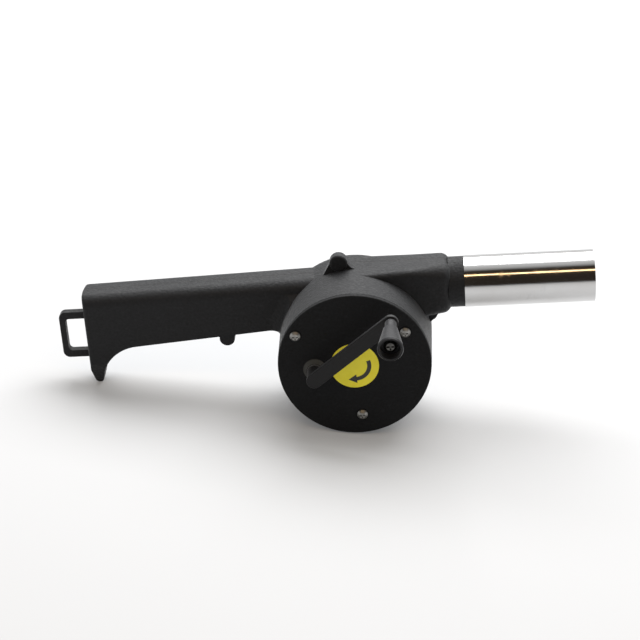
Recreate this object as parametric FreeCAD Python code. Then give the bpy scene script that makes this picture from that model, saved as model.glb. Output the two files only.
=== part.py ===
"""Hand crank fan: a small blower with a round gear case, a handle and a metal outlet tube.

Lengths are in millimetres. The model is built in the frame of its outlet: X runs along the
outlet tube towards its mouth, Y runs from the crank side (negative) to the intake side
(positive), Z is up, and the origin is on the impeller axis at the seam of the two shells.
At the end the pieces are tipped together, so that the fan rests on its round case and its hook.
"""
import FreeCAD, Part
import math
import os

# Round case
case_radius = 37.0
case_draft = 0.6
case_wall = 2.2
case_front = -34.9
case_back = 15.4
case_back_rounding = 9.0
partition_front = -17.6
partition_wall = 2.0

# Outlet: a duct that turns from a box into a round collar and spigot
outlet_axis_drop = 13.0
tube_outer_radius = 12.5
tube_wall = 0.7
tube_seat_wall = 0.4
tube_seat_clearance = 0.5
tube_exposed_length = 61.9
spigot_clearance = 0.1
spigot_length = 9.0
spigot_wall = 1.7
collar_radius = 12.2
collar_length = 6.6
duct_start = 4.0
duct_middle = 29.0
duct_end = 47.0
duct_rise = 12.6
duct_fall = 12.7
duct_front_half_width = 17.0
duct_back_half_width = 13.6
duct_front_corner = 2.4
duct_back_corner = 9.0
duct_corner_growth = 5
duct_end_half_width = 12.7
duct_end_corner = 8.0
duct_end_rounding = 4.5
duct_bore_flat = 0.1
duct_wall = 2.0

# Handle with its hook
handle_end = -130.7
handle_front_half_width = 10.5
handle_back_half_width = 10.7
handle_wall = 2.4
handle_drop_at_end = 8.1
handle_drop_at_case = 4.7
handle_bottom_at_hook = 0.6
handle_bottom_at_case = 9.4
handle_join = -15.0
handle_top_rounding = 5.5
handle_end_rounding = 1.6
handle_end_crown = 1.3
hook_root = -121.3
hook_outer_break = -5.0
hook_tip_x = -128.4
hook_tip_height = -18.3
hook_tip_radius = 2.0
hook_tip_half_width = 2.2
hook_taper_start = -7.0
hook_inner_rounding = 20.0
rib_thickness = 1.6
rib_places = (-46.0, -76.0, -98.0)
rib_seat_share = 0.75

# Hollow blend between the handle's front face and the side of the case
blend_radius = 6.0
blend_overlap = 1.0
blend_slope = 1.4

# Hanging loop at the handle's end
loop_reach = 14.3
loop_top = 17.9
loop_bottom = -6.4
loop_bar = 3.6
loop_side_bar = 2.9
loop_half_thickness = 1.9
loop_outer_rounding = 3.2
loop_inner_rounding = 2.0

# Lug on top of the crank-side shell
lug_x = -5.9
lug_rise = 7.5
lug_radius = 4.3
lug_rounding = 1.2
lug_front = -9.5
lug_back = -4.7
lug_foot_reach = 3.3
lug_foot_rise = 2.4

# Screw bosses that clamp the two shells
shell_boss_radius = 3.7
shell_boss_front = -9.0
shell_boss_back = 9.0
grip_boss_x = -62.4
grip_boss_height = 3.4
grip_front_radius = 3.0
grip_flank_reach = 2.2
end_boss_x = -117.5
end_boss_height = 15.5
duct_boss_reach = 0.9
duct_boss_angle = 16.0
duct_boss_front = -6.0
duct_boss_back = 10.7
duct_web_reach = 4.8
duct_web_fall = 5.1
duct_web_back = -3.0
shell_screw_radius = 1.5
shell_screw_length = 10.0
shell_screw_head_radius = 2.6
shell_screw_head_height = 1.8
shell_screw_head_depth = 5.0

# Gear case cover
cover_setback = 0.1
cover_thickness = 2.4
cover_edge_rounding = 0.6
cover_rim_thickness = 1.4
cover_rim_depth = 2.4
cover_rim_clearance = 0.15
cover_screw_insets = (6.7, 4.5, 10.1)
cover_screw_angles = (33.6, 147.8, 274.8)
cover_screw_radius = 1.5
cover_screw_length = 11.0
cover_screw_head_radius = 2.5
cover_screw_head_height = 1.7
cover_boss_radius = 3.2
hub_boss_radius = 5.6
hub_boss_front_radius = 3.9
hub_boss_height = 2.0

# Round label on the cover
label_radius = 11.5
label_thickness = 0.2

# Screw form, as shares of each screw's own head and shank
screw_crown_share = 0.6
screw_cross_reach = 0.56
screw_cross_width = 0.26
screw_point_slope = 1.5
screw_point_share = 0.3

# Gears
gear_module = 0.6
wheel_teeth = 40
pinion_teeth = 12
pressure_angle = 20.0
profile_shift = 0.25
dedendum_factor = 1.25
tooth_backlash = 0.12
gear_gap = 1.4
crank_gear_width = 5.0
wheel_width = 4.5
pinion_overlap = 0.6
gear_web = 2.0
gear_rim = 2.2
gear_hub_radius = 4.6
lightening_holes = 5
lightening_hole_radius = 1.7

# Shafts, pins and their fits
running_clearance = 0.05
end_float = 0.3
screw_clearance = 0.02
crank_axis_setback = 18.16
crank_axis_angle = 183.7
crank_shaft_radius = 2.0
crank_flat_depth = 0.5
crank_socket_radius = 4.0
crank_socket_height = 3.2
crank_bush_wall = 1.0
crank_bush_flange = 1.0
crank_bush_flange_reach = 0.9
impeller_shaft_radius = 2.0
impeller_bush_wall = 1.6
impeller_bush_flange = 0.8
impeller_bush_flange_reach = 1.0
impeller_socket_radius = 4.2
compound_pin_radius = 1.5
compound_boss_radius = 3.2
pin_seat_depth = 1.4

# Crank arm and knob
crank_length = 46.8
crank_angle = 37.4
arm_width = 7.2
arm_thickness = 2.0
arm_edge_rounding = 0.4
arm_collar_radius = 3.5
arm_collar_length = 7.5
arm_socket_depth = 7.0
washer_thickness = 0.5
washer_radius = 3.7
knob_length = 26.4
knob_neck_radius = 2.7
knob_neck_length = 6.6
knob_base_radius = 3.5
knob_end_radius = 6.0
knob_rounding = 0.8
knob_recess_radius = 4.8
knob_recess_depth = 5.0
knob_screw_radius = 1.5
knob_screw_head_radius = 3.1
knob_screw_head_height = 1.9

# Impeller
impeller_clearance = 5.8
impeller_plate = 1.4
impeller_gap = 1.6
impeller_width = 23.0
impeller_hub_radius = 5.0
impeller_hub_length = 13.0
blade_count = 12
blade_thickness = 1.2
blade_inner_radius = 13.0
blade_inner_angle = 58.0
blade_sweep = 26.0
blade_curl = 1.4
shroud_inner_radius = 22.0

# Intake grille in the back shell
grille_slots = 18
grille_slot_width = 3.0
grille_inner_radius = 8.0
grille_margin = 7.0
grille_dish_depth = 0.8


def vector(x, y, z):
    return FreeCAD.Vector(x, y, z)


axis_y = vector(0, 1, 0)
axis_x = vector(1, 0, 0)
big = 400.0


def cylinder(x, z, radius, y_from, y_to):
    return Part.makeCylinder(radius, y_to - y_from, vector(x, y_from, z), axis_y)


def prism(points, y_from, y_to):
    corners = [vector(x, y_from, z) for x, z in points]
    face = Part.Face(Part.makePolygon(corners + corners[:1]))
    return face.extrude(vector(0, y_to - y_from, 0))


def block(x_from, x_to, y_from, y_to, z_from, z_to):
    return Part.makeBox(x_to - x_from, y_to - y_from, z_to - z_from, vector(x_from, y_from, z_from))


def half_space(side):
    """The space in front of the seam (side -1) or behind it (side 1)."""
    return block(-big, big, min(0, side * big), max(0, side * big), -big, big)


def turned(profile):
    """Solid of a closed profile of (radius, y) points and arc triples, turned about the Y axis."""
    edges = []
    for start, middle, end in profile:
        first = vector(start[0], start[1], 0)
        last = vector(end[0], end[1], 0)
        if middle is None:
            edges.append(Part.makeLine(first, last))
        else:
            edges.append(Part.Arc(first, vector(middle[0], middle[1], 0), last).toShape())
    face = Part.Face(Part.Wire(edges))
    return face.revolve(vector(0, 0, 0), axis_y, 360)


def moved(shape, x, z):
    return shape.translated(vector(x, 0, z))


def fillet_edges(shape, radius, wanted):
    """Rounds the edges for which wanted(edge) is true."""
    edges = [edge for edge in shape.Edges if wanted(edge)]
    return shape.makeFillet(radius, edges)


def middle_of(edge):
    return edge.valueAt((edge.FirstParameter + edge.LastParameter) / 2)


def along_y(edge):
    direction = edge.tangentAt(edge.FirstParameter)
    return abs(direction.y) > 0.999


def near(value, target):
    return abs(value - target) < 1e-4


def polar(x, z, radius, angle):
    """Point at an angle in degrees from +X towards +Z."""
    turn = math.radians(angle)
    return (x + radius * math.cos(turn), z + radius * math.sin(turn))


# Places that follow from the driving sizes
case_front_radius = case_radius - case_draft
cavity_mouth_radius = case_front_radius - case_wall
cavity_floor_radius = cavity_mouth_radius + case_draft * (case_front - partition_front) / case_front
cover_radius = case_front_radius - cover_setback
handle_top_at_end = case_radius - handle_drop_at_end
handle_top_at_case = case_radius - handle_drop_at_case
outlet_axis_height = case_radius - outlet_axis_drop
duct_top = outlet_axis_height + duct_rise
duct_bottom = outlet_axis_height - duct_fall
lug_height = case_radius + lug_rise - lug_radius
crowned_end = handle_end - handle_end_crown
partition_back = partition_front + partition_wall
chamber_radius = case_radius - case_wall
cover_front = case_front - cover_thickness
hub_front = cover_front - hub_boss_height
collar_back = hub_front - washer_thickness - end_float
arm_back = collar_back - arm_collar_length
arm_front = arm_back - arm_thickness
wheel_pitch_radius = gear_module * wheel_teeth / 2
pinion_pitch_radius = gear_module * pinion_teeth / 2
centre_distance = wheel_pitch_radius + pinion_pitch_radius
gear_ratio = wheel_teeth / pinion_teeth
crank_offset = case_radius - crank_axis_setback
crank_x, crank_z = polar(0, 0, crank_offset, crank_axis_angle)
compound_offset = math.sqrt(centre_distance ** 2 - (crank_offset / 2) ** 2)
compound_x, compound_z = polar(crank_x / 2, crank_z / 2, compound_offset, crank_axis_angle + 90)
knob_x, knob_z = polar(crank_x, crank_z, crank_length, crank_angle)
crank_gear_front = case_front + crank_bush_flange + end_float
crank_gear_back = crank_gear_front + crank_gear_width
wheel_front = crank_gear_back + gear_gap
wheel_back = wheel_front + wheel_width
collar_end = duct_end + collar_length
spigot_end = collar_end + spigot_length
tube_mouth = collar_end + tube_exposed_length
tube_bore_radius = tube_outer_radius - tube_wall
tube_seat_radius = tube_outer_radius - tube_seat_wall
tube_seat_end = spigot_end + tube_seat_clearance
spigot_radius = tube_seat_radius - spigot_clearance
spigot_bore_radius = spigot_radius - spigot_wall
impeller_radius = chamber_radius - impeller_clearance
grille_outer_radius = case_radius - case_back_rounding - grille_margin
cover_screw_places = [
    polar(0, 0, cover_radius - inset, angle) for inset, angle in zip(cover_screw_insets, cover_screw_angles)
]
duct_boss = polar(0, 0, case_radius + duct_boss_reach, duct_boss_angle)
grip_boss_place = (grip_boss_x, grip_boss_height)
end_boss_place = (end_boss_x, end_boss_height)
shell_screw_places = [duct_boss, grip_boss_place, end_boss_place]


# Outer forms of the two shells
def case_outer():
    curve_start = case_back - case_back_rounding
    flat_radius = case_radius - case_back_rounding
    bend = case_back_rounding * math.sqrt(0.5)
    profile = [
        ((0, case_front), None, (case_front_radius, case_front)),
        ((case_front_radius, case_front), None, (case_radius, 0)),
        ((case_radius, 0), None, (case_radius, curve_start)),
        ((case_radius, curve_start), (flat_radius + bend, curve_start + bend), (flat_radius, case_back)),
        ((flat_radius, case_back), None, (0, case_back)),
        ((0, case_back), None, (0, case_front)),
    ]
    return turned(profile)


def fan_chamber():
    rounding = case_back_rounding - case_wall
    inner_back = case_back - case_wall
    curve_start = inner_back - rounding
    flat_radius = chamber_radius - rounding
    bend = rounding * math.sqrt(0.5)
    profile = [
        ((0, partition_back), None, (chamber_radius, partition_back)),
        ((chamber_radius, partition_back), None, (chamber_radius, curve_start)),
        ((chamber_radius, curve_start), (flat_radius + bend, curve_start + bend), (flat_radius, inner_back)),
        ((flat_radius, inner_back), None, (0, inner_back)),
        ((0, inner_back), None, (0, partition_back)),
    ]
    return turned(profile)


def gear_case_cavity():
    depth = partition_front - case_front
    return Part.makeCone(cavity_mouth_radius, cavity_floor_radius, depth, vector(0, case_front, 0), axis_y)


def duct_section(x, half_width, top, bottom, corner, side):
    """Half of a rounded box section at x, on the front (side -1) or back (side 1) of the seam."""
    bend = corner * (1 - math.sqrt(0.5))
    edge_y = side * half_width
    inner_y = side * (half_width - corner)
    bend_y = side * (half_width - bend)
    points = [
        vector(x, 0, top),
        vector(x, inner_y, top),
        vector(x, edge_y, top - corner),
        vector(x, edge_y, bottom + corner),
        vector(x, inner_y, bottom),
        vector(x, 0, bottom),
    ]
    edges = [
        Part.makeLine(points[0], points[1]),
        Part.Arc(points[1], vector(x, bend_y, top - bend), points[2]).toShape(),
        Part.makeLine(points[2], points[3]),
        Part.Arc(points[3], vector(x, bend_y, bottom + bend), points[4]).toShape(),
        Part.makeLine(points[4], points[5]),
        Part.makeLine(points[5], points[0]),
    ]
    return Part.Wire(edges)


def duct_half(side, half_width, corner, top, bottom, end_radius, end_corner):
    """Duct from the box section in the case to the softer section at its collar, one half."""
    middle_share = (duct_middle - duct_start) / (duct_end - duct_start)
    middle_width = half_width + (end_radius - half_width) * middle_share
    middle_corner = corner + (end_corner - corner) * middle_share ** duct_corner_growth
    end_top = outlet_axis_height + end_radius
    end_bottom = outlet_axis_height - end_radius
    middle_top = top + (end_top - top) * middle_share
    middle_bottom = bottom + (end_bottom - bottom) * middle_share
    sections = [
        duct_section(duct_start, half_width, top, bottom, corner, side),
        duct_section(duct_middle, middle_width, middle_top, middle_bottom, middle_corner, side),
        duct_section(duct_end, end_radius, end_top, end_bottom, end_corner, side),
    ]
    return Part.makeLoft(sections, True, True)


def duct_outer():
    end = (duct_end_half_width, duct_end_corner)
    front = duct_half(-1, duct_front_half_width, duct_front_corner, duct_top, duct_bottom, *end)
    back = duct_half(1, duct_back_half_width, duct_back_corner, duct_top, duct_bottom, *end)
    duct = front.fuse(back).removeSplitter()
    return fillet_edges(duct, duct_end_rounding, lambda e: near(middle_of(e).x, duct_end))


def duct_inner():
    top = duct_top - duct_wall
    bottom = duct_bottom + duct_wall
    front_width = -partition_back
    back_width = duct_back_half_width - duct_wall
    back_corner = duct_back_corner - duct_wall
    end = (spigot_bore_radius, spigot_bore_radius - duct_bore_flat)
    front = duct_half(-1, front_width, duct_front_corner, top, bottom, *end)
    back = duct_half(1, back_width, back_corner, top, bottom, *end)
    return front.fuse(back).removeSplitter()


def outlet_cylinder(radius, x_from, x_to):
    return Part.makeCylinder(radius, x_to - x_from, vector(x_from, 0, outlet_axis_height), axis_x)


def duct_boss_post():
    """Screw boss in the notch between the case and the duct's underside."""
    return cylinder(*duct_boss, shell_boss_radius, duct_boss_front, duct_boss_back)


def duct_web():
    """Thin web that fills the corner between the case's side and the duct's underside."""
    points = [
        (case_radius - case_wall, duct_bottom - duct_web_fall),
        (case_radius, duct_bottom - duct_web_fall),
        (case_radius + duct_web_reach, duct_bottom),
        (case_radius + duct_web_reach, duct_bottom + duct_wall / 2),
        (case_radius - case_wall, duct_bottom + duct_wall / 2),
    ]
    return prism(points, duct_boss_front, duct_web_back)


def line_height(x, x1, z1, x2, z2):
    return z1 + (z2 - z1) * (x - x1) / (x2 - x1)


def handle_top(x):
    return line_height(x, handle_end, handle_top_at_end, handle_join, handle_top_at_case)


def handle_bottom(x):
    return line_height(x, hook_root, handle_bottom_at_hook, handle_join, handle_bottom_at_case)


def tangent_point(point, centre, radius, side):
    """Where the tangent from a point touches a circle, on the given side of the centre line."""
    gap_x = point[0] - centre[0]
    gap_z = point[1] - centre[1]
    distance = math.hypot(gap_x, gap_z)
    turn = math.atan2(gap_z, gap_x) + side * math.acos(radius / distance)
    return (centre[0] + radius * math.cos(turn), centre[1] + radius * math.sin(turn))


def handle_outline_face(y):
    tip = (hook_tip_x, hook_tip_height)
    outer_break = (crowned_end, hook_outer_break)
    root = (hook_root, handle_bottom_at_hook)
    outer_touch = tangent_point(outer_break, tip, hook_tip_radius, 1)
    inner_touch = tangent_point(root, tip, hook_tip_radius, -1)
    lowest = (hook_tip_x, hook_tip_height - hook_tip_radius)
    path = [
        outer_touch,
        outer_break,
        (crowned_end, handle_top(crowned_end)),
        (handle_join, handle_top_at_case),
        (handle_join, handle_bottom_at_case),
        root,
        inner_touch,
    ]
    corners = [vector(x, y, z) for x, z in path]
    edges = [Part.makeLine(start, end) for start, end in zip(corners, corners[1:])]
    edges.append(Part.Arc(corners[-1], vector(lowest[0], y, lowest[1]), corners[0]).toShape())
    return Part.Face(Part.Wire(edges))


def hook_taper_envelope():
    """Side outline of the handle: full width above, drawn in to the hook's tip below."""
    tip_floor = hook_tip_height - hook_tip_radius - 1
    points = [
        vector(-big, -handle_front_half_width, big),
        vector(-big, -handle_front_half_width, hook_taper_start),
        vector(-big, -hook_tip_half_width, tip_floor),
        vector(-big, hook_tip_half_width, tip_floor),
        vector(-big, handle_back_half_width, hook_taper_start),
        vector(-big, handle_back_half_width, big),
    ]
    face = Part.Face(Part.makePolygon(points + points[:1]))
    return face.extrude(vector(2 * big, 0, 0))


def handle_top_envelope():
    """Long bar along the handle's top line, whose two upper edges are well rounded."""
    reach = handle_join - handle_end
    start = handle_end - reach
    top = handle_top(start)
    floor = -big
    front = -handle_front_half_width
    back = handle_back_half_width
    bend = handle_top_rounding * (1 - math.sqrt(0.5))
    points = [
        vector(start, front, floor),
        vector(start, front, top - handle_top_rounding),
        vector(start, front + handle_top_rounding, top),
        vector(start, back - handle_top_rounding, top),
        vector(start, back, top - handle_top_rounding),
        vector(start, back, floor),
    ]
    edges = [
        Part.makeLine(points[0], points[1]),
        Part.Arc(points[1], vector(start, front + bend, top - bend), points[2]).toShape(),
        Part.makeLine(points[2], points[3]),
        Part.Arc(points[3], vector(start, back - bend, top - bend), points[4]).toShape(),
        Part.makeLine(points[4], points[5]),
        Part.makeLine(points[5], points[0]),
    ]
    rise = handle_top(start + 3 * reach) - top
    return Part.Face(Part.Wire(edges)).extrude(vector(3 * reach, 0, rise))


def handle_end_crown_bar():
    """Bar with an upright rounded end, which gives the handle's end face its slight crown."""
    radius = (handle_back_half_width ** 2 + handle_end_crown ** 2) / (2 * handle_end_crown)
    middle = crowned_end + radius
    round_end = Part.makeCylinder(radius, 2 * big, vector(middle, 0, -big))
    return round_end.fuse(block(middle, big, -radius, radius, -big, big))


def handle_outer():
    depth = handle_front_half_width + handle_back_half_width
    solid = handle_outline_face(-handle_front_half_width).extrude(vector(0, depth, 0))

    def is_hook_root(edge):
        point = middle_of(edge)
        return along_y(edge) and near(point.x, hook_root) and near(point.z, handle_bottom_at_hook)

    solid = fillet_edges(solid, hook_inner_rounding, is_hook_root)
    solid = solid.common(handle_top_envelope()).common(handle_end_crown_bar())

    def is_end_edge(edge):
        point = middle_of(edge)
        upright_or_top = abs(edge.tangentAt(edge.FirstParameter).x) < 0.9
        return point.x < handle_end + handle_end_crown and point.z > hook_outer_break + 1 and upright_or_top

    solid = fillet_edges(solid, handle_end_rounding, is_end_edge)
    return solid.common(hook_taper_envelope())


def handle_blend():
    """Hollow fillet round the case, kept only where the handle's front face meets it."""
    front = -handle_front_half_width
    foot = case_radius - case_draft / 2
    bend = blend_radius * (1 - math.sqrt(0.5))
    behind = front + blend_overlap
    nose = front - blend_radius
    profile = [
        ((foot + blend_radius, front), (foot + bend, front - bend), (foot, nose)),
        ((foot, nose), None, (foot - blend_overlap, nose)),
        ((foot - blend_overlap, nose), None, (foot - blend_overlap, behind)),
        ((foot - blend_overlap, behind), None, (foot + blend_radius, behind)),
        ((foot + blend_radius, behind), None, (foot + blend_radius, front)),
    ]
    top = handle_top(-case_radius) - handle_top_rounding
    shelf = [
        vector(-2 * case_radius, behind, -big),
        vector(-2 * case_radius, behind, top),
        vector(-2 * case_radius, front, top),
        vector(-2 * case_radius, nose - 1, top - blend_slope * (blend_radius + 1)),
        vector(-2 * case_radius, nose - 1, -big),
    ]
    below_top = Part.Face(Part.makePolygon(shelf + shelf[:1])).extrude(vector(2 * case_radius, 0, 0))
    left = -2 * case_radius
    outline = [(left, handle_bottom(left)), (0, handle_bottom(0)), (0, big), (left, big)]
    return turned(profile).common(below_top).common(prism(outline, nose - 1, behind + 1))


def handle_cavity():
    front = -(handle_front_half_width - handle_wall)
    back = handle_back_half_width - handle_wall
    left = handle_end + handle_wall
    hook_side = hook_root
    points = [
        (left, handle_bottom_at_hook + handle_wall),
        (left, handle_top(left) - handle_wall),
        (handle_join, handle_top(handle_join) - handle_wall),
        (handle_join, handle_bottom(handle_join) + handle_wall),
        (hook_side, handle_bottom(hook_side) + handle_wall),
    ]
    return prism(points, front, back).cut(cylinder(0, 0, case_radius, front, back))


def handle_ribs():
    """Thin cross walls inside the handle."""
    ribs = []
    into_wall = handle_wall * rib_seat_share
    front = into_wall - handle_front_half_width
    back = handle_back_half_width - into_wall
    for x in rib_places:
        low = handle_bottom(x) + into_wall
        high = handle_top(x) - into_wall
        ribs.append(block(x - rib_thickness / 2, x + rib_thickness / 2, front, back, low, high))
    return ribs


def loop_solid():
    """Flat rectangular ring on the handle's end face."""
    left = handle_end - loop_reach
    right = handle_end + handle_wall / 2
    outer = block(left, right, -loop_half_thickness, loop_half_thickness, loop_bottom, loop_top)
    outer = fillet_edges(outer, loop_outer_rounding, lambda e: along_y(e) and near(middle_of(e).x, left))
    window = block(left + loop_side_bar, handle_end, -big, big, loop_bottom + loop_bar, loop_top - loop_bar)
    window = fillet_edges(window, loop_inner_rounding, along_y)
    return outer.cut(window)


def top_lug():
    """Lug on top of the case: a round head with a rounded front edge, on a foot flared to both sides."""
    foot_front = lug_front + lug_rounding
    inside = chamber_radius
    foot_half = lug_radius + lug_foot_reach
    foot_left = lug_x - foot_half
    foot_right = lug_x + foot_half
    head_left = vector(lug_x - lug_radius, foot_front, lug_height)
    head_right = vector(lug_x + lug_radius, foot_front, lug_height)
    head_top = vector(lug_x, foot_front, lug_height + lug_radius)
    left = vector(foot_left, foot_front, math.sqrt(case_radius ** 2 - foot_left ** 2))
    right = vector(foot_right, foot_front, math.sqrt(case_radius ** 2 - foot_right ** 2))
    waist = case_radius + lug_foot_rise
    left_waist = vector(lug_x - lug_radius - lug_foot_reach / 3, foot_front, waist - lug_foot_rise / 2)
    right_waist = vector(lug_x + lug_radius + lug_foot_reach / 3, foot_front, waist - lug_foot_rise / 2)
    edges = [
        Part.Arc(head_left, head_top, head_right).toShape(),
        Part.Arc(head_right, right_waist, right).toShape(),
        Part.makeLine(right, vector(lug_x, foot_front, inside)),
        Part.makeLine(vector(lug_x, foot_front, inside), left),
        Part.Arc(left, left_waist, head_left).toShape(),
    ]
    foot = Part.Face(Part.Wire(edges)).extrude(vector(0, lug_back - foot_front, 0))
    bend = lug_rounding * (1 - math.sqrt(0.5))
    flat = lug_radius - lug_rounding
    profile = [
        ((0, lug_front), None, (flat, lug_front)),
        ((flat, lug_front), (lug_radius - bend, lug_front + bend), (lug_radius, foot_front)),
        ((lug_radius, foot_front), None, (lug_radius, lug_back)),
        ((lug_radius, lug_back), None, (0, lug_back)),
        ((0, lug_back), None, (0, lug_front)),
    ]
    return foot.fuse(moved(turned(profile), lug_x, lug_height))


def grip_boss():
    """Boss that stands a little below the handle. Its front half is slimmer, with flared flanks."""
    back = cylinder(grip_boss_x, grip_boss_height, shell_boss_radius, 0, shell_boss_back)
    low = grip_boss_height - shell_boss_radius + grip_front_radius
    front = cylinder(grip_boss_x, low, grip_front_radius, shell_boss_front, 0)
    left = grip_boss_x - grip_front_radius
    right = grip_boss_x + grip_front_radius
    wide_left = left - grip_flank_reach
    wide_right = right + grip_flank_reach
    points = [
        (left, low),
        (right, low),
        (right + grip_flank_reach / 4, handle_bottom(right) - grip_flank_reach / 2),
        (wide_right, handle_bottom(wide_right)),
        (wide_right, handle_bottom(wide_right) + handle_wall / 2),
        (wide_left, handle_bottom(wide_left) + handle_wall / 2),
        (wide_left, handle_bottom(wide_left)),
        (left - grip_flank_reach / 4, handle_bottom(left) - grip_flank_reach / 2),
    ]
    return back.multiFuse([front, prism(points, shell_boss_front, 0)])


def end_boss():
    """Post inside the handle, from wall to wall."""
    front = -(handle_front_half_width - handle_wall / 2)
    back = handle_back_half_width - handle_wall / 2
    return cylinder(end_boss_x, end_boss_height, shell_boss_radius, front, back)


def grip_post():
    """Inner part of the grip boss, from wall to wall."""
    front = -(handle_front_half_width - handle_wall / 2)
    back = handle_back_half_width - handle_wall / 2
    return cylinder(grip_boss_x, grip_boss_height, shell_boss_radius, front, back)


def shell_body():
    """Both shells as one hollow body, before the seam and the holes are cut."""
    body = case_outer()
    outer_forms = [
        handle_outer(),
        handle_blend(),
        duct_outer(),
        outlet_cylinder(collar_radius, duct_end - 1, collar_end),
        outlet_cylinder(spigot_radius, duct_end - 1, spigot_end),
        duct_boss_post(),
        duct_web(),
        top_lug(),
        loop_solid(),
    ]
    body = body.multiFuse(outer_forms)
    body = body.cut(handle_cavity())
    body = body.multiFuse(handle_ribs() + [grip_boss(), grip_post(), end_boss()])
    body = body.cut(fan_chamber())
    body = body.cut(gear_case_cavity())
    body = body.cut(duct_inner())
    body = body.cut(outlet_cylinder(spigot_bore_radius, duct_end - 1, spigot_end + 1))
    return body


def back_of_boss(place):
    """Level of the intake-side end of a shell screw's boss."""
    if place == duct_boss:
        return duct_boss_back
    return handle_back_half_width


def shell_screw_head_seat(place):
    return back_of_boss(place) - shell_screw_head_depth


def bore_shell_screws(body):
    for place in shell_screw_places:
        seat = shell_screw_head_seat(place)
        hole = shell_screw_radius + screw_clearance
        body = body.cut(cylinder(*place, hole, seat - shell_screw_length - end_float, seat + 1))
        body = body.cut(cylinder(*place, shell_screw_head_radius + 2 * running_clearance, seat, big))
    return body


def front_shell(body):
    shell = body.common(half_space(-1))
    bush_outer = impeller_shaft_radius + running_clearance + impeller_bush_wall
    socket_front = partition_front - crank_socket_height
    additions = [
        cylinder(0, 0, bush_outer + case_wall, partition_front - impeller_bush_flange, partition_back),
        cylinder(crank_x, crank_z, crank_socket_radius, socket_front, partition_back),
        cylinder(compound_x, compound_z, compound_boss_radius, wheel_back + end_float, partition_back),
    ]
    for inset, angle in zip(cover_screw_insets, cover_screw_angles):
        reach = cover_radius - inset
        post = cylinder(*polar(0, 0, reach, angle), cover_boss_radius, case_front, partition_back)
        web = block(reach, cavity_floor_radius + case_wall / 2, case_front, partition_back,
                    -cover_boss_radius / 2, cover_boss_radius / 2)
        web.rotate(vector(0, 0, 0), axis_y, -angle)
        additions += [post, web]
    shell = shell.multiFuse(additions)
    shell = shell.cut(gear_cover_rim_groove())
    for x, z in cover_screw_places:
        depth = cover_front + cover_screw_length + end_float
        shell = shell.cut(cylinder(x, z, cover_screw_radius + screw_clearance, case_front - 1, depth))
    shaft_hole = crank_shaft_radius + running_clearance
    shell = shell.cut(cylinder(crank_x, crank_z, shaft_hole, socket_front - 1, partition_front))
    shell = shell.cut(cylinder(0, 0, bush_outer, partition_front - big, partition_back + 1))
    pin_seat = partition_front + partition_wall - pin_seat_depth
    shell = shell.cut(cylinder(compound_x, compound_z, compound_pin_radius, partition_front - big, pin_seat))
    return bore_shell_screws(shell).removeSplitter()


def gear_cover_rim_groove():
    """Room that the cover's locating rim takes out of the webs behind the screw posts."""
    outer = cavity_mouth_radius + cover_rim_clearance / 2
    inner = cavity_mouth_radius - 2 * cover_rim_clearance - cover_rim_thickness
    ring = cylinder(0, 0, outer, case_front - 1, case_front + cover_rim_depth + cover_rim_clearance)
    return ring.cut(cylinder(0, 0, inner, case_front - 2, case_front + big))


def back_shell(body):
    shell = body.common(half_space(1))
    dish_floor = case_back - grille_dish_depth
    shell = shell.cut(cylinder(0, 0, grille_outer_radius + grille_slot_width, dish_floor, big))
    slots = []
    for number in range(grille_slots):
        slot = grille_slot()
        slot.rotate(vector(0, 0, 0), axis_y, number * 360 / grille_slots)
        slots.append(slot)
    shell = shell.cut(Part.makeCompound(slots))
    return bore_shell_screws(shell).removeSplitter()


def grille_slot():
    """Radial slot with round ends, narrower towards the middle."""
    inner_half = grille_slot_width * grille_inner_radius / grille_outer_radius / 2
    outer_half = grille_slot_width / 2
    level = case_back - 2 * case_wall
    inner_end = grille_inner_radius - inner_half
    outer_end = grille_outer_radius + outer_half
    points = [
        vector(grille_inner_radius, level, inner_half),
        vector(grille_outer_radius, level, outer_half),
        vector(grille_outer_radius, level, -outer_half),
        vector(grille_inner_radius, level, -inner_half),
    ]
    edges = [
        Part.makeLine(points[0], points[1]),
        Part.Arc(points[1], vector(outer_end, level, 0), points[2]).toShape(),
        Part.makeLine(points[2], points[3]),
        Part.Arc(points[3], vector(inner_end, level, 0), points[0]).toShape(),
    ]
    return Part.Face(Part.Wire(edges)).extrude(vector(0, 3 * case_wall, 0))


# Cover, label and screws
def bush_outer_radius():
    return crank_shaft_radius + running_clearance + crank_bush_wall


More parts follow.
